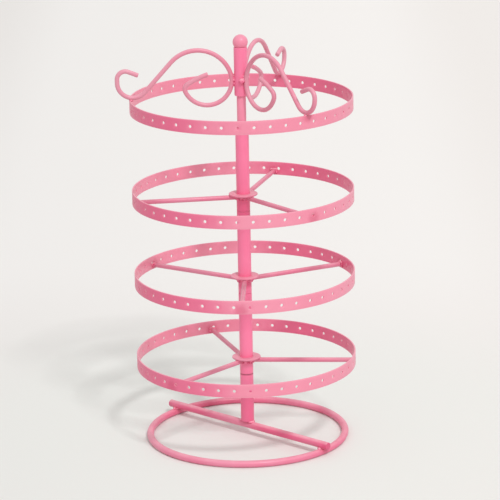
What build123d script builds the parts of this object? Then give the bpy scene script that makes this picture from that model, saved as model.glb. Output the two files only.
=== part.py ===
from build123d import *
import os
from math import cos, radians, sin, sqrt

# Rotating jewelry stand: four perforated rings that turn one above another on a fixed spindle.
# Millimetres, +Z up. The origin is on the spindle axis, on the surface that the base stands on.
# Azimuths are degrees about +Z from +X, and -Y is the front. Tiers are numbered from the top.

# Perforated rings: steel strip bent round in flats, with one hole in the middle of each flat
ring_diameter = 165.0
strip_height = 10.0
strip_thickness = 1.0
hole_count = 44
hole_diameter = 2.2
hole_sides = 6
first_hole_azimuths = {1: 6.2, 2: 4.9, 3: 2.4, 4: 1.8}

# Base: a ring of rod bent round in flats, with a crossbar welded on top of it
base_ring_diameter = 148.0
base_ring_flats = 60
base_rod_diameter = 5.2
crossbar_diameter = 5.6
crossbar_overhang = 6.2
crossbar_azimuth = -42.0

# Spindle, base post and hub tubes
spindle_diameter = 6.8
tube_diameter = 10.0
post_height = 38.1
tier_pitch = 63.5

# Flanges and spokes that carry the three lower rings
flange_diameter = 21.5
flange_thickness = 1.2
flange_rise = 12.2
spoke_diameter = 3.5
spoke_azimuths = {2: (73.0, 188.0, 308.0), 3: (26.0, 148.0, 268.0), 4: (-4.0, 109.0, 228.0)}
ring_lift = 2.15

# Finial: a sleeve over the end of the spindle, closed by a ball with a spigot
sleeve_length = 36.2
bare_spindle_length = 24.4
ball_diameter = 11.2
ball_seat_angle = -42.0
ball_top_angle = 78.0
ball_bands = 6
spigot_length = 6.0
top_ring_drop = 5.9

# Scrolls that carry the top ring: radii and angles of the bends in their upright planes
scroll_wire_diameter = 3.4
scroll_azimuths = (184.0, 305.0, 68.5)
scroll_rise = 17.3
tail_radius = 60.0
tail_angle = 16.0
turn_radius = 4.5
turn_angle = 82.0
loop_radius = 18.0
loop_dip_angle = 25.0
arch_join_angle = 20.0
run_slope = 47.8
foot_radius = 11.5
foot_setback = 2.0
curl_rises = (2.5, 0.4, 0.4)
curl_radius = 6.0
curl_angle = 112.0
curl_tip_length = 7.8

# Sides of the sections that stand for round rods, wires and turned pieces
rod_sides = 8
wire_sides = 6
turned_sides = 20

# Clearances
running_clearance = 0.1
seat_clearance = 0.05
stack_gap = 0.2
overrun = 1.0

# Radii that follow from the sizes above
ring_radius = ring_diameter / 2
strip_inner_radius = ring_radius - strip_thickness
base_ring_radius = base_ring_diameter / 2
tube_radius = tube_diameter / 2
tube_seat_radius = tube_radius + seat_clearance
spindle_radius = spindle_diameter / 2
seat_bore_radius = spindle_radius + seat_clearance
running_bore_radius = spindle_radius + running_clearance
ball_radius = ball_diameter / 2
wire_radius = scroll_wire_diameter / 2

# Heights of the stack, from the table up
crossbar_height = base_rod_diameter + crossbar_diameter / 2
post_bottom = base_rod_diameter + crossbar_diameter
post_top = post_bottom + post_height
hub_length = tier_pitch - stack_gap
hub_tiers = sorted(spoke_azimuths, reverse=True)
hub_bottoms = {tier: post_top + stack_gap + level * tier_pitch for level, tier in enumerate(hub_tiers)}
spoke_rise = flange_rise - spoke_diameter / 2
sleeve_bottom = max(hub_bottoms.values()) + hub_length + bare_spindle_length
sleeve_top = sleeve_bottom + sleeve_length
spindle_top = sleeve_top - spigot_length - stack_gap
ring_heights = {tier: bottom + spoke_rise + ring_lift for tier, bottom in hub_bottoms.items()}
ring_heights[1] = sleeve_bottom - top_ring_drop

os.makedirs("parts", exist_ok=True)


def keep(builder, name):
    """Label a finished piece and write it to its own STEP file."""
    builder.part.label = name
    export_step(builder.part, f"parts/{name}.step")


def radial_plane(azimuth, height, distance=0):
    """A plane at a distance from the spindle axis whose normal points outwards along the azimuth."""
    outwards = Vector(cos(radians(azimuth)), sin(radians(azimuth)), 0)
    return Plane(
        origin=outwards * distance + Vector(0, 0, height),
        x_dir=(-outwards.Y, outwards.X, 0),
        z_dir=outwards,
    )


def upright_plane(azimuth):
    """A plane through the spindle axis: local x is the distance from the axis, local y is the height."""
    outwards = Vector(cos(radians(azimuth)), sin(radians(azimuth)), 0)
    return Plane(origin=(0, 0, 0), x_dir=outwards, z_dir=(outwards.Y, -outwards.X, 0))


def flat_sided(width, sides, turn=0, mode=Mode.ADD):
    """A regular outline of a given width across its flats, with a flat square to local x before its turn."""
    RegularPolygon(width / 2, sides, major_radius=False, rotation=turn + 180 / sides, mode=mode)


def tube(bore_radius, bottom, length):
    """A plain tube of the stand's one tube size, round the spindle axis."""
    with BuildPart() as piece:
        with BuildSketch(Plane.XY.offset(bottom)):
            Circle(tube_radius)
            Circle(bore_radius, mode=Mode.SUBTRACT)
        extrude(amount=length)
    return piece


# Base ring
with BuildPart() as base_ring:
    with BuildSketch(Plane.XY.offset(base_rod_diameter / 2), mode=Mode.PRIVATE) as loop:
        flat_sided(base_ring_diameter, base_ring_flats)
    with BuildSketch(Plane.XZ):
        with Locations((base_ring_radius, base_rod_diameter / 2)):
            flat_sided(base_rod_diameter, rod_sides)
    sweep(path=loop.sketch.wire(), transition=Transition.RIGHT)
keep(base_ring, "base_ring")

# Crossbar over the base ring, through the spindle axis
with BuildPart() as base_crossbar:
    with BuildSketch(radial_plane(crossbar_azimuth, crossbar_height)):
        flat_sided(crossbar_diameter, rod_sides)
    extrude(amount=base_ring_radius + crossbar_overhang, both=True)
keep(base_crossbar, "base_crossbar")

# Post on the crossbar, and the spindle that stands in it and passes through every hub
keep(tube(seat_bore_radius, post_bottom, post_height), "base_post")

with BuildPart() as spindle:
    with BuildSketch(Plane.XY.offset(post_bottom)):
        Circle(spindle_radius)
    extrude(amount=spindle_top - post_bottom)
keep(spindle, "spindle")

# Perforated rings
for tier, height in sorted(ring_heights.items()):
    turn = first_hole_azimuths[tier]
    punch_plane = radial_plane(turn, height, strip_inner_radius - overrun)
    with BuildPart() as ring:
        with BuildSketch(Plane.XY.offset(height - strip_height / 2)):
            flat_sided(ring_diameter, hole_count, turn)
            flat_sided(2 * strip_inner_radius, hole_count, turn, mode=Mode.SUBTRACT)
        extrude(amount=strip_height)
        with BuildSketch(punch_plane, mode=Mode.PRIVATE) as outline:
            flat_sided(hole_diameter, hole_sides)
        punch = extrude(outline.sketch, amount=strip_thickness + 2 * overrun, mode=Mode.PRIVATE)
        with PolarLocations(0, hole_count):
            add(punch, mode=Mode.SUBTRACT)
    keep(ring, f"ring_{tier}")

# Hubs of the three lower tiers: a tube that turns on the spindle, a flange on it and spokes under the flange
for tier, bottom in hub_bottoms.items():
    keep(tube(running_bore_radius, bottom, hub_length), f"hub_tube_{tier}")

    with BuildPart() as flange:
        with BuildSketch(Plane.XY.offset(bottom + flange_rise)):
            flat_sided(flange_diameter, turned_sides)
            flat_sided(2 * tube_seat_radius, turned_sides, mode=Mode.SUBTRACT)
        extrude(amount=flange_thickness)
    keep(flange, f"flange_{tier}")

    for index, azimuth in enumerate(spoke_azimuths[tier], start=1):
        with BuildPart() as spoke:
            with BuildSketch(radial_plane(azimuth, bottom + spoke_rise, tube_seat_radius)):
                flat_sided(spoke_diameter, rod_sides)
            extrude(amount=strip_inner_radius - seat_clearance - tube_seat_radius)
        keep(spoke, f"spoke_{tier}_{index}")

# Finial sleeve, and the ball whose spigot closes it and rides on the end of the spindle
keep(tube(running_bore_radius, sleeve_bottom, sleeve_length), "finial_sleeve")

ball_centre = sleeve_top - ball_radius * sin(radians(ball_seat_angle))
band_angle = (ball_top_angle - ball_seat_angle) / ball_bands
with BuildPart() as finial_ball:
    with BuildSketch(Plane.XY.offset(sleeve_top - spigot_length)):
        RegularPolygon(spindle_radius, turned_sides)
    extrude(amount=spigot_length)
    for band in range(ball_bands):
        low_angle = ball_seat_angle + band * band_angle
        low = ball_radius * sin(radians(low_angle))
        high = ball_radius * sin(radians(low_angle + band_angle))
        with BuildSketch(Plane.XY.offset(ball_centre + low)):
            flat_sided(ball_diameter * cos(radians(low_angle)), turned_sides)
        extrude(amount=high - low, taper=low_angle + band_angle / 2)
keep(finial_ball, "finial_ball")


# Scrolls: wire bent in tangent arcs from the tail in the loop, over the arch, to the foot on the top ring
def along(centre, distance, angle):
    """The point that lies a distance from a centre, at an angle from local x."""
    return (centre[0] + distance * cos(radians(angle)), centre[1] + distance * sin(radians(angle)))


top_edge = ring_heights[1] + strip_height / 2
foot_clearance = sqrt((foot_radius + wire_radius) ** 2 - foot_setback**2) + seat_clearance
turn_start = turn_angle - loop_dip_angle
arch_start = 180 - arch_join_angle
loop_centre = (tube_seat_radius + wire_radius + loop_radius, ring_heights[1] + scroll_rise)
turn_centre = along(loop_centre, loop_radius - turn_radius, -loop_dip_angle)
tail_centre = along(turn_centre, turn_radius - tail_radius, turn_start)
foot_centre = (strip_inner_radius - foot_setback, top_edge + foot_clearance)

# The arch continues the loop, and its radius is the one that meets the straight run down to the foot
reach = (Vector(*foot_centre) - Vector(*loop_centre)).dot(Vector(*along((0, 0), 1, 90 - run_slope)))
join_share = sin(radians(run_slope - arch_join_angle))
arch_radius = (reach - foot_radius + loop_radius * join_share) / (1 + join_share)
arch_centre = along(loop_centre, arch_radius - loop_radius, -arch_join_angle)

with BuildPart() as scrolls:
    for azimuth, curl_rise in zip(scroll_azimuths, curl_rises):
        plane = upright_plane(azimuth)
        curl_centre = (foot_centre[0] + foot_radius - curl_radius, foot_centre[1] + curl_rise)
        with BuildLine(plane):
            tail = CenterArc(tail_centre, tail_radius, turn_start + tail_angle, -tail_angle)
            CenterArc(turn_centre, turn_radius, turn_start, -turn_angle)
            CenterArc(loop_centre, loop_radius, 360 - loop_dip_angle, arch_start + loop_dip_angle - 360)
            arch = CenterArc(arch_centre, arch_radius, arch_start, 90 - run_slope - arch_start)
            foot = CenterArc(foot_centre, foot_radius, 270 - run_slope, 90 + run_slope)
            Line(arch @ 1, foot @ 0)
            curl = CenterArc(curl_centre, curl_radius, 0, curl_angle)
            Line(foot @ 1, curl @ 0)
            Line(curl @ 1, curl @ 1 + curl_tip_length * (curl % 1))
        with BuildSketch(Plane(origin=tail @ 0, x_dir=plane.z_dir.cross(tail % 0), z_dir=tail % 0)):
            flat_sided(scroll_wire_diameter, wire_sides)
        sweep()
keep(scrolls, "scrolls")
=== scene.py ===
from math import cos, hypot, pi, radians, sin, sqrt, tau
from random import Random

import bpy
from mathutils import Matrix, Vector


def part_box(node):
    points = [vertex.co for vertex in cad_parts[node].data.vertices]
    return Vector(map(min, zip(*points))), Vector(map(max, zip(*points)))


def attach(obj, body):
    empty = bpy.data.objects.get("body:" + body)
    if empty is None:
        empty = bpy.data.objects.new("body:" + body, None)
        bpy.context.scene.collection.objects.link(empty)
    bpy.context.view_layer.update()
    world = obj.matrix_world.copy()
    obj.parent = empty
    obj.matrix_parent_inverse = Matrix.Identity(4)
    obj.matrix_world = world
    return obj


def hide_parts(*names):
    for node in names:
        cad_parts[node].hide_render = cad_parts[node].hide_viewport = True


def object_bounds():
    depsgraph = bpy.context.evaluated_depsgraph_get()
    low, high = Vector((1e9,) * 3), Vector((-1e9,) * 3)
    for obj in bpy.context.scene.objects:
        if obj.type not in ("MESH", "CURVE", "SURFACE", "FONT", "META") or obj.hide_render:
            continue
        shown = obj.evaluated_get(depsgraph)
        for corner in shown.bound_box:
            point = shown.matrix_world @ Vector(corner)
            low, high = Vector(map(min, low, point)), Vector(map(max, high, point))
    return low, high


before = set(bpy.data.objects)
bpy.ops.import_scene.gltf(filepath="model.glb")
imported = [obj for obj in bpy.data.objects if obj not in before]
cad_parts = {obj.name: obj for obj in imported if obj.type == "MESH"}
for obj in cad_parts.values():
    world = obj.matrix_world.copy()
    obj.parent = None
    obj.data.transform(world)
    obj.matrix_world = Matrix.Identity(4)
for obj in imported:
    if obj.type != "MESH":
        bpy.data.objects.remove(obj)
cad_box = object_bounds()

# Rotating jewelry stand in pink powder coat. Metres, +Z up, -Y to the front.
# Azimuths are degrees about +Z from +X. Tiers are numbered from the top.

MM = 0.001
UP = Vector((0, 0, 1))

# Perforated strip
HOLE_COUNT = 44
HOLE_RADIUS = 1.1 * MM
HOLE_SIDES = 24
STRIP_THICKNESS = 1.0 * MM
FIRST_HOLE_AZIMUTHS = {1: 6.2, 2: 4.9, 3: 2.4, 4: 1.8}

# Rods, wires and tubes
ROD_SIDES = 24
TUBE_SIDES = 64
TUBE_WALL = 1.5 * MM
CROSSBAR_AZIMUTH = -42.0
SPOKE_COUNT = 3
WELD_SINK = 0.2 * MM

# Scrolls: radii and angles of the bends in their upright planes
SCROLL_AZIMUTHS = (184.0, 305.0, 68.5)
WIRE_RADIUS = 1.7 * MM
SCROLL_RISE = 17.3 * MM
TAIL_RADIUS, TAIL_ANGLE = 60 * MM, 16.0
TURN_RADIUS, TURN_ANGLE = 4.5 * MM, 82.0
LOOP_RADIUS, LOOP_DIP_ANGLE = 18 * MM, 25.0
ARCH_JOIN_ANGLE, RUN_SLOPE = 20.0, 47.8
FOOT_RADIUS, FOOT_SETBACK = 11.5 * MM, 2 * MM
CURL_RISES = (2.5 * MM, 0.4 * MM, 0.4 * MM)
CURL_RADIUS, CURL_ANGLE, CURL_TIP_LENGTH = 6 * MM, 112.0, 7.8 * MM
SEAT_CLEARANCE = 0.05 * MM

# Degrees between the cross sections of bent wire and rod
BEND_STEP, TIGHT_BEND_STEP, BASE_BEND_STEP = 5.0, 9.0, 2.0

# Ball on the sleeve
BALL_SEGMENTS, BALL_RINGS = 48, 32

# Softened edges. Hub tubes 2 and 3 meet in a tight seam
RIM_ROUND = 0.45 * MM
TIGHT_RIM_ROUND = 0.12 * MM
CUT_END_ROUND = 0.4 * MM
STRIP_EDGE_ROUND = 0.15 * MM
SHARP_ANGLE = radians(50)
SMOOTH_ANGLE = radians(38)

# Straight welds: both ends in millimetres along a seam's ways, then the radius of the lumps and their number
CROSSING_SEAMS = (((0, 2.9), (0, 1.6), 1.2, 2), ((2.2, 0.9), (-2.2, 1.6), 0.9, 4))
POST_SEAMS = (((0.5, 2.7), (4.4, 2.2), 0.9, 5),)
SPOKE_END_SEAMS = (((-0.5, 1.9, -1.2), (-0.5, 1.9, 1.4), 0.95, 4),)
SPOKE_TOP_SEAMS = (((-0.5, 1.2, 1.7), (-0.5, -1.2, 1.7), 0.9, 3),)
SPOKE_ROOT_SEAMS = (((6.2, 1.5, -0.5), (10.0, 1.5, -0.5), 0.75, 5),)
SLEEVE_SEAMS = (((0.3, 1.0, -3.5), (0.3, 1.0, 3.5), 0.95, 7),)
FOOT_SEAMS = (((-1.0, 1.3), (0, 1.6), 0.9, 3),)

# Weld round the foot of the post: its start off the tube, its end, and the radius and number of its lumps
POST_RIM_STANDOFF, POST_RIM_END, POST_RIM_LUMPS = 0.3 * MM, (4.6, 2.0), (1.15, 4)

# Weld round a hub under its flange: drop and radius of the lumps, in millimetres, kept clear of the spindle
FLANGE_WELD_STEPS = 18
FLANGE_WELD_LUMPS = ((1.4, 1.6), (3.1, 0.8))
FLANGE_WELD_STANDOFF = 0.45 * MM

# Tack beside each scroll on the sleeve: swing in degrees and radius in millimetres
TACK_LUMPS = ((12, 1.5), (22, 2.0), (33, 1.9))
TACK_STANDOFF, TACK_LIFT = 1.1 * MM, 0.5 * MM

# How far lumps of weld stray and grow, as shares of their radius, and how finely they are melted
WELD_STRAY = 0.15
WELD_GROWTH = (0.8, 1.12)
WELD_GRAIN = 0.28 * MM


# Modelling

def outward(azimuth):
    """The level direction that points away from the spindle at an azimuth."""
    return Vector((cos(radians(azimuth)), sin(radians(azimuth)), 0))


def middle(node):
    """Centre of a node's box."""
    low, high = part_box(node)
    return (low + high) / 2


def extent(node):
    """Lengths of a node's box."""
    low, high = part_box(node)
    return high - low


def strip_radius(node):
    """Outer radius of a ring's strip, across the flats of its node."""
    return max(hypot(v.co.x, v.co.y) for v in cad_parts[node].data.vertices) * cos(pi / HOLE_COUNT)


def deselect():
    """Leave edit mode with nothing selected."""
    if bpy.context.mode != "OBJECT":
        bpy.ops.object.mode_set(mode="OBJECT")
    bpy.ops.object.select_all(action="DESELECT")


def settle(name):
    """Name the new primitive and put its place and size into its mesh."""
    piece = bpy.context.object
    piece.name = name
    piece.data.name = name
    bpy.ops.object.transform_apply(location=True, rotation=True, scale=True)
    return piece


def edit(piece):
    """Enter edit mode on a piece with all of it selected."""
    bpy.context.view_layer.objects.active = piece
    bpy.ops.object.mode_set(mode="EDIT")
    bpy.ops.mesh.select_mode(type="VERT")
    bpy.ops.mesh.select_all(action="SELECT")


def pick(piece, test):
    """Select the vertices of the piece in edit mode whose places pass a test."""
    bpy.ops.mesh.select_all(action="DESELECT")
    bpy.ops.object.mode_set(mode="OBJECT")
    for vertex in piece.data.vertices:
        vertex.select = test(vertex.co)
    bpy.ops.object.mode_set(mode="EDIT")


def open_loop(name, radius, sides, place, facing):
    """Start a piece as an open loop of edges, square to a direction, in edit mode and selected."""
    deselect()
    turn = facing.to_track_quat("Z", "Y").to_euler()
    bpy.ops.mesh.primitive_circle_add(
        vertices=sides, radius=radius, fill_type="NOTHING", location=place, rotation=turn
    )
    piece = settle(name)
    edit(piece)
    return piece


def draw_out(way):
    """Extrude the selected loop along a straight way."""
    bpy.ops.mesh.extrude_edges_move(TRANSFORM_OT_translate={"value": way})


def bend(centre, axis, angle, step=BEND_STEP):
    """Carry the selected loop round a centre by the right-hand rule about an axis."""
    steps = max(2, round(abs(angle) / step))
    bpy.ops.mesh.spin(steps=steps, angle=-radians(angle), center=centre, axis=axis)


def modify(piece, kind, **settings):
    """Add a modifier with its settings and apply it."""
    modifier = piece.modifiers.new(kind.lower(), kind)
    for key, value in settings.items():
        setattr(modifier, key, value)
    bpy.context.view_layer.objects.active = piece
    bpy.ops.object.modifier_apply(modifier=modifier.name)


def close(piece, merge=0.01 * MM):
    """Merge doubles, cap open ends, turn the faces outwards and leave edit mode."""
    bpy.ops.mesh.select_all(action="SELECT")
    bpy.ops.mesh.remove_doubles(threshold=merge)
    bpy.ops.mesh.fill_holes(sides=0)
    bpy.ops.mesh.select_all(action="SELECT")
    bpy.ops.mesh.normals_make_consistent(inside=False)
    bpy.ops.object.mode_set(mode="OBJECT")


def soften(piece, width, segments=3):
    """Round the sharp edges of a piece and shade it smooth."""
    modify(piece, "BEVEL", width=width, segments=segments, limit_method="ANGLE", angle_limit=SHARP_ANGLE)
    bpy.ops.object.select_all(action="DESELECT")
    piece.select_set(True)
    bpy.ops.object.shade_smooth_by_angle(angle=SMOOTH_ANGLE)


def dress(piece, body, paint, *nodes):
    """Paint a finished piece, fix it to its body and let it stand for its nodes."""
    piece.data.materials.clear()
    piece.data.materials.append(paint)
    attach(piece, body)
    if nodes:
        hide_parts(*nodes)


# Pieces

def rod(name, start, end, radius):
    """A straight round rod with softened cut ends."""
    piece = open_loop(name, radius, ROD_SIDES, start, end - start)
    draw_out(end - start)
    close(piece)
    soften(piece, CUT_END_ROUND)
    return piece


def tube(node, rim=RIM_ROUND):
    """A plain tube on the spindle axis, as large as its node, with rounded rims."""
    size = extent(node)
    deselect()
    bpy.ops.mesh.primitive_cylinder_add(
        vertices=TUBE_SIDES, radius=size.x / 2, depth=size.z, end_fill_type="NOTHING", location=middle(node)
    )
    piece = settle(f"{node}_painted")
    modify(piece, "SOLIDIFY", thickness=TUBE_WALL, offset=-1)
    soften(piece, rim)
    return piece


def rod_ring(node):
    """A round rod bent into a closed level ring, as large as its node."""
    size = extent(node)
    radius = (size.x - size.z) / 2
    start = Vector((radius, 0, middle(node).z))
    piece = open_loop(f"{node}_painted", size.z / 2, ROD_SIDES, start, Vector((0, 1, 0)))
    bend((0, 0, start.z), UP, 360, BASE_BEND_STEP)
    close(piece)
    soften(piece, RIM_ROUND)
    return piece


def flange(node, tube_radius):
    """A thin washer round a hub tube, with a rounded rim."""
    size = extent(node)
    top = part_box(node)[1].z
    piece = open_loop(f"{node}_painted", tube_radius - WELD_SINK, TUBE_SIDES, (0, 0, top), UP)
    draw_out((0, 0, 0))
    spread = size.x / 2 / (tube_radius - WELD_SINK)
    bpy.ops.transform.resize(value=(spread, spread, 1), center_override=(0, 0, top))
    bpy.ops.mesh.select_all(action="SELECT")
    bpy.ops.mesh.normals_make_consistent(inside=False)
    bpy.ops.object.mode_set(mode="OBJECT")
    modify(piece, "SOLIDIFY", thickness=size.z, offset=-1)
    soften(piece, RIM_ROUND)
    return piece


def ball(node, seat):
    """A ball cut flat where it sits on its sleeve."""
    radius = extent(node).x / 2
    centre = Vector((0, 0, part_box(node)[1].z - radius))
    deselect()
    bpy.ops.mesh.primitive_uv_sphere_add(
        segments=BALL_SEGMENTS, ring_count=BALL_RINGS, radius=radius, location=centre
    )
    piece = settle(f"{node}_painted")
    edit(piece)
    bpy.ops.mesh.bisect(plane_co=(0, 0, seat), plane_no=UP, use_fill=True, clear_inner=True)
    close(piece)
    soften(piece, RIM_ROUND)
    return piece


def perforated_ring(node, first_azimuth):
    """A strip bent into a ring, with a round hole in the middle of each of its equal lengths."""
    height = middle(node).z
    strip_height = extent(node).z
    radius = strip_radius(node)
    length = 2 * radius * sin(pi / HOLE_COUNT)
    side = outward(first_azimuth + 90)
    place = outward(first_azimuth) * radius + UP * height
    turn = (0, pi / 2, radians(first_azimuth))

    deselect()
    bpy.ops.mesh.primitive_plane_add(size=1, location=place, rotation=turn)
    bpy.context.object.scale = (strip_height, length, 1)
    piece = settle(f"{node}_painted")
    edit(piece)
    bpy.ops.mesh.subdivide(number_cuts=HOLE_SIDES // 4 - 1)
    pick(
        piece,
        lambda point: abs(point.z - height) < strip_height / 2 - SEAT_CLEARANCE
        and abs(side.dot(point)) < length / 2 - SEAT_CLEARANCE,
    )
    bpy.ops.mesh.delete(type="VERT")
    bpy.ops.mesh.primitive_circle_add(
        vertices=HOLE_SIDES, radius=HOLE_RADIUS, fill_type="NOTHING", location=place, rotation=turn
    )
    bpy.ops.mesh.select_all(action="SELECT")
    bpy.ops.mesh.bridge_edge_loops(number_cuts=1, interpolation="LINEAR")
    bpy.ops.mesh.select_all(action="SELECT")
    copies = HOLE_COUNT - 1
    bpy.ops.mesh.spin(
        steps=copies, angle=tau * copies / HOLE_COUNT, dupli=True, center=(0, 0, height), axis=UP
    )
    bpy.ops.mesh.select_all(action="SELECT")
    bpy.ops.mesh.remove_doubles(threshold=SEAT_CLEARANCE)
    bpy.ops.mesh.normals_make_consistent(inside=False)
    bpy.ops.object.mode_set(mode="OBJECT")
    face = piece.data.polygons[0]
    if face.normal.dot(face.center) < 0:
        edit(piece)
        bpy.ops.mesh.flip_normals()
        bpy.ops.object.mode_set(mode="OBJECT")
    modify(piece, "CAST", cast_type="CYLINDER", factor=1, size=radius, use_radius_as_size=False, use_z=False)
    modify(piece, "SOLIDIFY", thickness=STRIP_THICKNESS, offset=-1, use_even_offset=True)
    soften(piece, STRIP_EDGE_ROUND, segments=2)
    return piece


def along(centre, distance, angle):
    """The point that lies a distance from a centre in an upright plane, at an angle from level."""
    return (centre[0] + distance * cos(radians(angle)), centre[1] + distance * sin(radians(angle)))


def scroll(name, azimuth, curl_rise):
    """A wire bent in tangent arcs from the tail in its loop, over the arch, to the foot on the top ring."""
    ring_low, ring_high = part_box("ring_1")
    sleeve_radius = extent("finial_sleeve").x / 2
    turn_start = TURN_ANGLE - LOOP_DIP_ANGLE
    arch_start = 180 - ARCH_JOIN_ANGLE
    loop_centre = (
        sleeve_radius + SEAT_CLEARANCE + WIRE_RADIUS + LOOP_RADIUS,
        (ring_low.z + ring_high.z) / 2 + SCROLL_RISE,
    )
    turn_centre = along(loop_centre, LOOP_RADIUS - TURN_RADIUS, -LOOP_DIP_ANGLE)
    tail_centre = along(turn_centre, TURN_RADIUS - TAIL_RADIUS, turn_start)
    foot_lift = sqrt((FOOT_RADIUS + WIRE_RADIUS) ** 2 - FOOT_SETBACK**2) + SEAT_CLEARANCE
    foot_centre = (strip_radius("ring_1") - STRIP_THICKNESS - FOOT_SETBACK, ring_high.z + foot_lift)
    curl_centre = (foot_centre[0] + FOOT_RADIUS - CURL_RADIUS, foot_centre[1] + curl_rise)

    slope = radians(RUN_SLOPE)
    reach = (foot_centre[0] - loop_centre[0]) * sin(slope) + (foot_centre[1] - loop_centre[1]) * cos(slope)
    join = sin(radians(RUN_SLOPE - ARCH_JOIN_ANGLE))
    arch_radius = (reach - FOOT_RADIUS + LOOP_RADIUS * join) / (1 + join)
    arch_centre = along(loop_centre, arch_radius - LOOP_RADIUS, -ARCH_JOIN_ANGLE)
    run_start = Vector(along(arch_centre, arch_radius, 90 - RUN_SLOPE))
    run_end = Vector(along(foot_centre, FOOT_RADIUS, 270 - RUN_SLOPE))

    out = outward(azimuth)
    across = out.cross(UP)

    def at(point):
        return out * point[0] + UP * point[1]

    tail_tip = along(tail_centre, TAIL_RADIUS, turn_start + TAIL_ANGLE)
    tail_way = across.cross(at(tail_centre) - at(tail_tip))
    piece = open_loop(name, WIRE_RADIUS, ROD_SIDES, at(tail_tip), tail_way)
    bend(at(tail_centre), across, -TAIL_ANGLE)
    bend(at(turn_centre), across, -TURN_ANGLE, TIGHT_BEND_STEP)
    bend(at(loop_centre), across, arch_start + LOOP_DIP_ANGLE - 360)
    bend(at(arch_centre), across, 90 - RUN_SLOPE - arch_start)
    draw_out(at(run_end - run_start))
    bend(at(foot_centre), across, 90 + RUN_SLOPE)
    draw_out(UP * curl_rise)
    bend(at(curl_centre), across, CURL_ANGLE, TIGHT_BEND_STEP)
    draw_out(at(along((0, 0), CURL_TIP_LENGTH, CURL_ANGLE + 90)))
    close(piece)
    soften(piece, CUT_END_ROUND)
    return piece


def offset(origin, ways, lengths):
    """The place that lies some millimetres along each of the ways from an origin."""
    place = origin
    for way, length in zip(ways, lengths):
        place = place + way * length * MM
    return place


def bead(start, end, radius, count):
    """Places and radii of the lumps of weld along a straight line."""
    return [(start.lerp(end, step / (count - 1)), radius * MM) for step in range(count)]


def beads(seams, origin, *ways):
    """Places and radii of the lumps of weld on seams, measured from an origin."""
    lumps = []
    for first, last, radius, count in seams:
        lumps += bead(offset(origin, ways, first), offset(origin, ways, last), radius, count)
    return lumps


def weld(name, lumps, seed):
    """Lumps of weld melted into uneven beads."""
    chance = Random(seed)
    deselect()
    for place, radius in lumps:
        stray = Vector([chance.uniform(-WELD_STRAY, WELD_STRAY) * radius for axis in range(3)])
        grown = radius * chance.uniform(*WELD_GROWTH)
        bpy.ops.mesh.primitive_ico_sphere_add(subdivisions=2, radius=grown, location=place + stray)
        if bpy.context.mode == "OBJECT":
            piece = settle(name)
            edit(piece)
    bpy.ops.object.mode_set(mode="OBJECT")
    modify(piece, "REMESH", mode="VOXEL", voxel_size=WELD_GRAIN)
    modify(piece, "SMOOTH", factor=0.5, iterations=3)
    bpy.ops.object.shade_smooth()
    return piece


# Finish

class Value:
    """A shader socket that can stand in a sum."""

    def __init__(self, paint, socket):
        self.paint = paint
        self.socket = socket

    def math(self, operation, first, second=0.0):
        return self.paint.node("ShaderNodeMath", {"operation": operation}, {0: first, 1: second})

    def __add__(self, other):
        return self.math("ADD", self, other)

    def __radd__(self, other):
        return self.math("ADD", other, self)

    def __sub__(self, other):
        return self.math("SUBTRACT", self, other)

    def __rsub__(self, other):
        return self.math("SUBTRACT", other, self)

    def __mul__(self, other):
        return self.math("MULTIPLY", self, other)

    def __rmul__(self, other):
        return self.math("MULTIPLY", other, self)

    def __pow__(self, other):
        return self.math("POWER", self, other)

    def __abs__(self):
        return self.math("ABSOLUTE", self)

    def __mod__(self, other):
        return self.math("FLOORED_MODULO", self, other)


class Paint:
    """The node tree of a material or of the world, filled node by node."""

    def __init__(self, owner):
        owner.use_nodes = True
        self.owner = owner
        self.tree = owner.node_tree
        self.tree.nodes.clear()

    def node(self, kind, settings=None, inputs=None, output=0):
        """Add a node: its settings first, then the values or links of its sockets."""
        added = self.tree.nodes.new(kind)
        for key, value in (settings or {}).items():
            setattr(added, key, value)
        for key, value in (inputs or {}).items():
            if isinstance(value, Value):
                self.tree.links.new(value.socket, added.inputs[key])
            else:
                added.inputs[key].default_value = value
        return Value(self, added.outputs[output]) if added.outputs else None

    def noise(self, place, grain):
        """Cloudy noise from 0 to 1, with the scale and detail of a grain."""
        scale, detail = grain
        sockets = {"Vector": place, "Scale": scale, "Detail": detail}
        return self.node("ShaderNodeTexNoise", None, sockets, "Fac")

    def ramp(self, value, low, high):
        """A smooth step from 0 at low to 1 at high."""
        return self.node(
            "ShaderNodeMapRange",
            {"interpolation_type": "SMOOTHSTEP"},
            {"Value": value, "From Min": low, "From Max": high},
        )

    def blend(self, factor, first, second):
        """A mix of two colours, by the numbers of the Mix node's colour sockets."""
        return self.node("ShaderNodeMix", {"data_type": "RGBA"}, {0: factor, 6: first, 7: second}, 2)

    def part(self, vector, axis):
        """One part of a vector, along X, Y or Z."""
        return self.node("ShaderNodeSeparateXYZ", None, {"Vector": vector}, axis)

    def upward(self):
        """How far a surface faces up, from -1 to 1."""
        return self.part(self.node("ShaderNodeTexCoord", output="Normal"), "Z")

    def show(self, output, shader):
        """End the tree in a shader and hand its owner back."""
        self.node(output, None, {"Surface": shader})
        return self.owner


# Tones of the paint, and of the dark line along its seams
PINK = (0.97, 0.232, 0.408, 1)
SOFT_PINK = (0.85, 0.225, 0.355, 1)
RUBBED_PINK = (0.885, 0.300, 0.425, 1)
DULL_PINK = (0.80, 0.240, 0.365, 1)
DIM_PINK = (0.725, 0.240, 0.352, 1)
DUSKY_PINK = (0.745, 0.325, 0.415, 1)
DEEP_PINK = (0.80, 0.105, 0.24, 1)
PALE_PINK = (0.93, 0.47, 0.55, 1)
BURNT_PINK = (0.60, 0.05, 0.14, 1)
SEAM_DARK_TONE = (0.30, 0.02, 0.06, 1)

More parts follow.
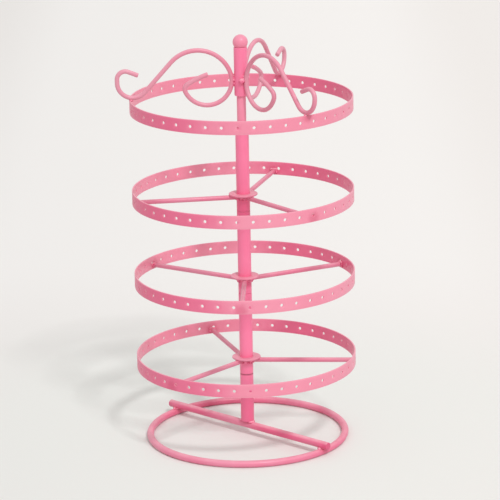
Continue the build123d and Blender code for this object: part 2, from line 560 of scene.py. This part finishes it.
# Grains of the noises: scale per metre, and detail
CLOUD, PEEL, SPECK, DUST_AND_HIGHLIGHT_GRAIN = (20, 4), (900, 3), (2600, 1), (120, 4)
SHEEN_GRAIN, WEAR, STAIN, RAGGED = (24, 3), (260, 3), (300, 2), (260, 2)
WELD_CLOUD, WELD_PITS, PAPER = (420, 3), (1500, 3), (4, 3)

# Where the clouds of deeper paint begin and end, where weld is paler from dust and a painted highlight on what
# faces up, and how high the bumps are
CLOUD_EDGES, WELD_CLOUD_EDGES = (0.36, 0.66), (0.35, 0.65)
WELD_DUST_AND_HIGHLIGHT, WELD_DUST_AND_HIGHLIGHT_SHARE = (-0.2, 0.8), 0.6
PEEL_HEIGHT, SPECK_HEIGHT, LIP_HEIGHT, PIT_HEIGHT = 0.8, 0.2, 0.8, 0.5

# Painted sheen and shade on the strips: the side whose faces get a paler painted sheen, while faces turned away
# get a deeper painted shade, and how unevenly
SHEEN_WAY = outward(0)
SHEEN_UNEVENNESS = 0.7
FACING_SHADE, FACING_SHADE_SHARE = (-0.65, -0.10), 0.6
FACING_SHEEN, FACING_SHEEN_SHARE = (-0.40, 0.15), 0.3

# Wear on the strips' edges and round their holes
WEAR_WIDTH = 0.7 * MM
EDGE_WEAR, LIP_WEAR, LEAST_WEAR = 0.55, 0.3, 0.4

# Deep paint round a weld, and the azimuths along the back of the base ring where its paint is deeper
STAIN_CORE, STAIN_REACH, STAIN_SHARE = 3.0 * MM, 8.5 * MM, 0.45
BASE_DEEP_AZIMUTHS = range(92, 130, 4)

# Painted shade below the flanges and tiers: how far it reaches below each flange, below the top of each hub
# tube and up the post
FLANGE_SHADE_DEPTHS = {2: 19 * MM, 3: 9 * MM, 4: 4.5 * MM}
HUB_TOP_SHADE_DEPTHS = {2: 0.5 * MM, 3: 5 * MM, 4: 0.5 * MM}
POST_SHADE_RISE = 25 * MM
HUB_SHADE_SHARE, POST_SHADE_SHARE = 0.85, 0.58
SHADE_FADE, SHADE_EDGE, RAGGED_DEPTH = 2.5 * MM, 0.5 * MM, 3 * MM

# Dark line along the seams
SEAM_DARK_CORE, SEAM_DARK_REACH, SEAM_DARK_SHARE = 0.3 * MM, 1.0 * MM, 0.5


def strip_places(paint, place, node):
    """Azimuth of a point about the spindle, and its height from the middle of a ring's strip."""
    x, y, z = (paint.part(place, axis) for axis in "XYZ")
    return x.math("ARCTAN2", y, x), z - middle(node).z


def arc_to_hole(azimuth, node, first_azimuth):
    """Distance along the strip to the nearest hole."""
    turns = (azimuth - radians(first_azimuth)) * (HOLE_COUNT / tau)
    return ((turns + 0.5) % 1.0 - 0.5) * (tau * strip_radius(node) / HOLE_COUNT)


def powder_coat(
    name, tone=PINK, dust_and_highlight=0.35, dust_and_highlight_edge=0.15, patches=0.4, strip=None, welds=(), painted_shade=(), seams=()
):
    """Pink powder coat: cloudy shade, orange peel, dust and a painted highlight on what faces up, deep paint by
    the welds; painted shade in bands of height, a dark line at seams, and painted sheen and shade on strips.
    """
    paint = Paint(bpy.data.materials.new(name))
    place = paint.node("ShaderNodeTexCoord", output="Object")
    cloud = paint.ramp(paint.noise(place, CLOUD), *CLOUD_EDGES)
    peel = paint.noise(place, PEEL)
    # Dust, with a painted highlight, on what faces up, as paler paint
    wear_dust_and_highlight = paint.ramp(paint.upward(), dust_and_highlight_edge, 1.0) * paint.noise(place, DUST_AND_HIGHLIGHT_GRAIN) * dust_and_highlight
    colour = paint.blend(cloud * patches, tone, DEEP_PINK)
    height = peel * PEEL_HEIGHT + paint.noise(place, SPECK) * SPECK_HEIGHT

    if strip:
        # Painted sheen on the strip's faces turned to +X, and painted shade on those turned away
        facing = paint.node("ShaderNodeTexCoord", output="Normal")
        sheen_facing = paint.node(
            "ShaderNodeVectorMath", {"operation": "DOT_PRODUCT"}, {0: facing, 1: SHEEN_WAY}, "Value"
        )
        sheen_facing = sheen_facing + (paint.noise(place, SHEEN_GRAIN) - 0.5) * SHEEN_UNEVENNESS
        colour = paint.blend((1 - paint.ramp(sheen_facing, *FACING_SHADE)) * FACING_SHADE_SHARE, colour, DEEP_PINK)
        colour = paint.blend(paint.ramp(sheen_facing, *FACING_SHEEN) * FACING_SHEEN_SHARE, colour, PALE_PINK)
        azimuth, lift = strip_places(paint, place, strip[0])
        from_hole = (arc_to_hole(azimuth, *strip) ** 2 + lift**2) ** 0.5
        lip = 1 - paint.ramp(from_hole, HOLE_RADIUS, HOLE_RADIUS + WEAR_WIDTH)
        half = extent(strip[0]).z / 2
        edge = paint.ramp(abs(lift), half - WEAR_WIDTH, half)
        patchy = LEAST_WEAR + (1 - LEAST_WEAR) * paint.noise(place, WEAR)
        wear_dust_and_highlight = wear_dust_and_highlight + (edge * EDGE_WEAR + lip * LIP_WEAR) * patchy
        height = height + lip * LIP_HEIGHT

    for spot in welds:
        away = paint.node("ShaderNodeVectorMath", {"operation": "DISTANCE"}, {0: place, 1: spot}, "Value")
        away = away + paint.noise(place, STAIN) * RAGGED_DEPTH
        stain = 1 - paint.ramp(away, STAIN_CORE, STAIN_REACH)
        colour = paint.blend(stain * STAIN_SHARE, colour, BURNT_PINK)

    level = paint.part(place, "Z")
    # Painted shade in bands of height: below flanges, below hub tops and up the post
    for low, high, share in painted_shade:
        ragged = level + (paint.noise(place, RAGGED) - 0.5) * RAGGED_DEPTH
        shade_mask = paint.ramp(ragged, low, low + SHADE_FADE)
        shade_mask = shade_mask * (1 - paint.ramp(level, high - SHADE_EDGE, high + SHADE_EDGE))
        colour = paint.blend(shade_mask * share, colour, DEEP_PINK)
    # A darker line along each seam
    for seam in seams:
        seam_darkening = 1 - paint.ramp(abs(level - seam), SEAM_DARK_CORE, SEAM_DARK_REACH)
        colour = paint.blend(seam_darkening * SEAM_DARK_SHARE, colour, SEAM_DARK_TONE)

    colour = paint.blend(wear_dust_and_highlight, colour, PALE_PINK)
    bump = paint.node("ShaderNodeBump", None, {"Strength": 0.3, "Distance": 0.06 * MM, "Height": height})
    shader = paint.node(
        "ShaderNodeBsdfPrincipled",
        None,
        {
            "Base Color": colour,
            "Roughness": 0.34 + peel * 0.14 + wear_dust_and_highlight * 0.2,
            "Coat Weight": 0.14 - wear_dust_and_highlight * 0.12,
            "Coat Roughness": 0.18,
            "Normal": bump,
        },
    )
    return paint.show("ShaderNodeOutputMaterial", shader)


def weld_paint():
    """Powder coat over weld: deeper in colour, pitted, and paler where it faces up, from dust and a painted
    highlight.
    """
    paint = Paint(bpy.data.materials.new("painted_weld"))
    place = paint.node("ShaderNodeTexCoord", output="Object")
    cloud = paint.noise(place, WELD_CLOUD)
    pits = paint.noise(place, WELD_PITS)
    colour = paint.blend(paint.ramp(cloud, *WELD_CLOUD_EDGES), PINK, BURNT_PINK)
    # Dust and a painted highlight on what faces up
    colour = paint.blend(paint.ramp(paint.upward(), *WELD_DUST_AND_HIGHLIGHT) * WELD_DUST_AND_HIGHLIGHT_SHARE, colour, PALE_PINK)
    height = cloud + pits * PIT_HEIGHT
    bump = paint.node("ShaderNodeBump", None, {"Strength": 0.6, "Distance": 0.15 * MM, "Height": height})
    shader = paint.node(
        "ShaderNodeBsdfPrincipled", None, {"Base Color": colour, "Roughness": 0.42 + pits * 0.2, "Normal": bump}
    )
    return paint.show("ShaderNodeOutputMaterial", shader)


tube_coat = powder_coat("tube_powder_coat", patches=0.3)
rubbed_coat = powder_coat("rubbed_powder_coat", tone=RUBBED_PINK, patches=0.3)
scroll_coat = powder_coat("scroll_powder_coat", tone=DUSKY_PINK, dust_and_highlight=0.7)
spoke_coat = powder_coat("spoke_powder_coat", tone=DIM_PINK, dust_and_highlight=0.7)
flange_coat = powder_coat("dusty_highlit_powder_coat", tone=DIM_PINK, dust_and_highlight=0.8)
welded = weld_paint()

# Base
base_welds = []
base_size = extent("base_ring")
base_rod = base_size.z
base_radius = (base_size.x - base_rod) / 2
bar_centre = middle("base_crossbar")
bar_radius = extent("base_crossbar").z / 2
bar_way = outward(CROSSBAR_AZIMUTH)
bar_side = outward(CROSSBAR_AZIMUTH + 90)
bar_half = max(bar_way.dot(v.co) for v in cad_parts["base_crossbar"].data.vertices)
bar_ends = [bar_centre + way * bar_half for way in (bar_way, -bar_way)]
crossbar = rod("base_crossbar_painted", bar_ends[1], bar_ends[0], bar_radius)
spindle_low, spindle_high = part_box("spindle")
spindle_radius = extent("spindle").x / 2
spindle = rod("spindle_painted", UP * spindle_low.z, UP * spindle_high.z, spindle_radius)
post_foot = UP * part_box("base_post")[0].z
post_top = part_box("base_post")[1].z
post_radius = extent("base_post").x / 2
crossings = [way * base_radius + UP * base_rod for way in (bar_way, -bar_way)]
deep_spots = [outward(azimuth) * base_radius + UP * base_rod / 2 for azimuth in BASE_DEEP_AZIMUTHS]
# The post gets painted shade up from its foot, under the tiers, and a darker line at each seam
post_coat = powder_coat(
    "post_powder_coat",
    painted_shade=[(post_foot.z - RAGGED_DEPTH, post_foot.z + POST_SHADE_RISE, POST_SHADE_SHARE)],
    seams=[post_foot.z, post_top],
)
base_coat = powder_coat(
    "base_powder_coat", tone=DULL_PINK, dust_and_highlight=0.8, patches=0.6, welds=crossings + deep_spots
)
# The bar's top gets heavy dust and a strong painted highlight
bar_coat = powder_coat(
    "bar_powder_coat", tone=DULL_PINK, dust_and_highlight=1.3, dust_and_highlight_edge=0.35, patches=0.9, welds=bar_ends
)
dress(rod_ring("base_ring"), "base", base_coat, "base_ring")
dress(crossbar, "base", bar_coat, "base_crossbar")
dress(tube("base_post"), "base", post_coat, "base_post")
dress(spindle, "base", rubbed_coat, "spindle")
for way, crossing in zip((bar_way, -bar_way), crossings):
    for side in (bar_side, -bar_side):
        base_welds += beads(CROSSING_SEAMS, crossing, way, side)
        base_welds += beads(POST_SEAMS, post_foot, way, side)
        rim_start = post_foot + way * (post_radius + POST_RIM_STANDOFF)
        rim_end = offset(post_foot, (way, side), POST_RIM_END)
        base_welds += bead(rim_start, rim_end, *POST_RIM_LUMPS)
dress(weld("base_welds", base_welds, seed=11), "base", welded)

# Lower tiers
for tier in (2, 3, 4):
    body = f"tier_{tier}"
    tier_welds = []
    spots = []
    tube_radius = extent(f"hub_tube_{tier}").x / 2
    strip_inside = strip_radius(f"ring_{tier}") - STRIP_THICKNESS
    flange_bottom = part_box(f"flange_{tier}")[0].z
    hub_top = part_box(f"hub_tube_{tier}")[1].z
    for index in range(1, SPOKE_COUNT + 1):
        node = f"spoke_{tier}_{index}"
        centre = middle(node)
        way = Vector((centre.x, centre.y, 0)).normalized()
        side = UP.cross(way)
        level = UP * centre.z
        spoke_radius = extent(node).z / 2
        spoke = rod(
            f"{node}_painted",
            way * (tube_radius - WELD_SINK) + level,
            way * (strip_inside + WELD_SINK) + level,
            spoke_radius,
        )
        dress(spoke, body, spoke_coat, node)
        end = way * strip_inside + level
        spots.append(end)
        for hand in (side, -side):
            tier_welds += beads(SPOKE_END_SEAMS, end, way, hand, UP)
            tier_welds += beads(SPOKE_ROOT_SEAMS, UP * flange_bottom, way, hand, UP)
        tier_welds += beads(SPOKE_TOP_SEAMS, end, way, side, UP)
    for step in range(FLANGE_WELD_STEPS):
        way = outward(step * 360 / FLANGE_WELD_STEPS)
        spot = way * (tube_radius + FLANGE_WELD_STANDOFF) + UP * flange_bottom
        tier_welds += [(spot - UP * drop * MM, radius * MM) for drop, radius in FLANGE_WELD_LUMPS]
    strip_coat = powder_coat(
        f"strip_powder_coat_{tier}", SOFT_PINK, strip=(f"ring_{tier}", FIRST_HOLE_AZIMUTHS[tier]), welds=spots
    )
    # Painted shade on the hub tube below its flange and below its top
    hub_coat = powder_coat(
        f"hub_powder_coat_{tier}",
        painted_shade=[
            (flange_bottom - FLANGE_SHADE_DEPTHS[tier], flange_bottom, HUB_SHADE_SHARE),
            (hub_top - HUB_TOP_SHADE_DEPTHS[tier], hub_top, HUB_SHADE_SHARE),
        ],
        seams=[post_top] if tier == 4 else [],
    )
    dress(perforated_ring(f"ring_{tier}", FIRST_HOLE_AZIMUTHS[tier]), body, strip_coat, f"ring_{tier}")
    hub_rim = RIM_ROUND if tier == 4 else TIGHT_RIM_ROUND
    dress(tube(f"hub_tube_{tier}", hub_rim), body, hub_coat, f"hub_tube_{tier}")
    dress(flange(f"flange_{tier}", tube_radius), body, flange_coat, f"flange_{tier}")
    dress(weld(f"tier_{tier}_welds", tier_welds, seed=tier), body, welded)

# Top tier
top_welds = []
spots = []
sleeve_radius = extent("finial_sleeve").x / 2
strip_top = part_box("ring_1")[1].z
loop_height = middle("ring_1").z + SCROLL_RISE
for index, (azimuth, curl_rise) in enumerate(zip(SCROLL_AZIMUTHS, CURL_RISES), start=1):
    dress(scroll(f"scroll_{index}_painted", azimuth, curl_rise), "tier_1", scroll_coat, "scrolls")
    way = outward(azimuth)
    foot = way * (strip_radius("ring_1") - STRIP_THICKNESS) + UP * strip_top
    spots.append(foot)
    for side in (outward(azimuth + 90), outward(azimuth - 90)):
        top_welds += beads(SLEEVE_SEAMS, way * sleeve_radius + UP * loop_height, way, side, UP)
        top_welds += beads(FOOT_SEAMS, foot, way, side)
    tack = UP * (loop_height + TACK_LIFT)
    for swing, radius in TACK_LUMPS:
        top_welds.append((outward(azimuth - swing) * (sleeve_radius + TACK_STANDOFF) + tack, radius * MM))
strip_coat = powder_coat(
    "strip_powder_coat_1", SOFT_PINK, strip=("ring_1", FIRST_HOLE_AZIMUTHS[1]), welds=spots
)
dress(perforated_ring("ring_1", FIRST_HOLE_AZIMUTHS[1]), "tier_1", strip_coat, "ring_1")
dress(tube("finial_sleeve"), "tier_1", tube_coat, "finial_sleeve")
dress(ball("finial_ball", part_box("finial_sleeve")[1].z), "tier_1", rubbed_coat, "finial_ball")
dress(weld("tier_1_welds", top_welds, seed=1), "tier_1", welded)

# Floor
# Floor shades: the left, the right made paler by painted light, a painted glow behind the stand, and a green
# tint painted under the stand against the pink light it throws there
FLOOR_HALF = 8.0
FLOOR_SHADE = (0.800, 0.782, 0.765, 1)
FLOOR_LIT_SHADE = (0.880, 0.852, 0.830, 1)
FLOOR_GLOW_SHADE, FLOOR_GLOW_SHARE = (1.0, 1.0, 0.99, 1), 0.36
FLOOR_ANTI_BOUNCE_SHADE, FLOOR_ANTI_BOUNCE_SHARE = (0.84, 0.93, 0.88, 1), 0.5

# Metres over which the floor's painted light changes: left to right, front to back and off the middle; and off
# the stand, where the green tint painted against the stand's pink bounce fades
FLOOR_LIGHT_FADE, FLOOR_UNEVENNESS = (-0.28, 0.22), 0.12
FLOOR_GLOW_DEPTHS, FLOOR_ANTI_BOUNCE_REACH = (0.05, 0.5), (0.06, 0.40)
FLOOR_GLOW_MIDDLE, FLOOR_GLOW_SIDES = -0.025, (0.19, 0.33)


def floor_paint():
    """Pale paper, a little uneven, with painted light that makes it paler to the right and behind, and a green
    tint painted under the stand against the pink light that the stand throws on it.
    """
    paint = Paint(bpy.data.materials.new("pale_paper"))
    place = paint.node("ShaderNodeTexCoord", output="Object")
    across, behind = (paint.part(place, axis) for axis in "XY")
    away = paint.node("ShaderNodeVectorMath", {"operation": "LENGTH"}, {0: place}, "Value")
    side_light = paint.ramp(across + (paint.noise(place, PAPER) - 0.5) * FLOOR_UNEVENNESS, *FLOOR_LIGHT_FADE)
    far_glow = paint.ramp(behind, *FLOOR_GLOW_DEPTHS) * (1 - paint.ramp(abs(across - FLOOR_GLOW_MIDDLE), *FLOOR_GLOW_SIDES))
    anti_bounce = 1 - paint.ramp(away, *FLOOR_ANTI_BOUNCE_REACH)
    colour = paint.blend(side_light, FLOOR_SHADE, FLOOR_LIT_SHADE)
    colour = paint.blend(far_glow * FLOOR_GLOW_SHARE, colour, FLOOR_GLOW_SHADE)
    colour = paint.blend(anti_bounce * FLOOR_ANTI_BOUNCE_SHARE, colour, FLOOR_ANTI_BOUNCE_SHADE)
    shader = paint.node("ShaderNodeBsdfPrincipled", None, {"Base Color": colour, "Roughness": 0.9})
    return paint.show("ShaderNodeOutputMaterial", shader)


deselect()
bpy.ops.mesh.primitive_plane_add(size=2 * FLOOR_HALF, location=(0, 0, cad_box[0].z))
floor = settle("floor")
floor.data.materials.append(floor_paint())

# Light: a lamp from the front and above, a wide soft one from the front, and an even pale room
LAMP_WAY = Vector((0.271, -0.602, 0.752))
LAMP_STRENGTH, LAMP_SPREAD = 1.26, radians(8)
FILL_WAY = Vector((0.10, -0.88, 0.46))
FILL_STRENGTH, FILL_SPREAD = 0.22, radians(70)
LAMP_DISTANCE = 3.0
ROOM_SHADE, ROOM_STRENGTH = (1, 0.985, 0.97, 1), 0.66
BACKDROP = (0.86, 0.84, 0.82, 1)


def lamp(name, way, strength, spread):
    """A far lamp in a direction, as wide in the sky as its spread."""
    deselect()
    turn = way.to_track_quat("Z", "Y").to_euler()
    bpy.ops.object.light_add(type="SUN", location=way * LAMP_DISTANCE, rotation=turn)
    bpy.context.object.name = name
    bpy.context.object.data.energy = strength
    bpy.context.object.data.angle = spread


lamp("front_lamp", LAMP_WAY, LAMP_STRENGTH, LAMP_SPREAD)
lamp("soft_fill", FILL_WAY, FILL_STRENGTH, FILL_SPREAD)

world = bpy.data.worlds.new("pale_room")
bpy.context.scene.world = world
room = Paint(world)
camera_ray = room.node("ShaderNodeLightPath", output="Is Camera Ray")
glossy_ray = room.node("ShaderNodeLightPath", output="Is Glossy Ray")
clear_ray = room.node("ShaderNodeLightPath", output="Is Transmission Ray")
seen = camera_ray.math("MAXIMUM", camera_ray, glossy_ray.math("MAXIMUM", glossy_ray, clear_ray))
surround = room.node("ShaderNodeBackground", None, {"Color": ROOM_SHADE, "Strength": ROOM_STRENGTH})
backdrop = room.node("ShaderNodeBackground", None, {"Color": BACKDROP, "Strength": 1.0})
shown = room.node("ShaderNodeMixShader", None, {0: seen, 1: surround, 2: backdrop})
room.show("ShaderNodeOutputWorld", shown)

# Camera
CAMERA_ELEVATION = radians(15.58)
CAMERA_ROLL = radians(1.10)
CAMERA_DISTANCE = 2.060
CAMERA_TARGET = Vector((4.26, 0, 145.4)) * MM
CAMERA_LENS, CAMERA_SENSOR, CAMERA_REACH = 198.4, 36, 40

deselect()
view_way = Vector((0, cos(CAMERA_ELEVATION), -sin(CAMERA_ELEVATION)))
bpy.ops.object.camera_add(location=CAMERA_TARGET - view_way * CAMERA_DISTANCE)
camera = bpy.context.object
camera.name = "camera"
camera.rotation_euler = view_way.to_track_quat("-Z", "Y").to_euler()
camera.rotation_euler.rotate_axis("Z", -CAMERA_ROLL)
camera.data.lens = CAMERA_LENS
camera.data.sensor_width = CAMERA_SENSOR
camera.data.clip_end = CAMERA_REACH
bpy.context.scene.camera = camera
bpy.context.scene.view_settings.view_transform = "Standard"
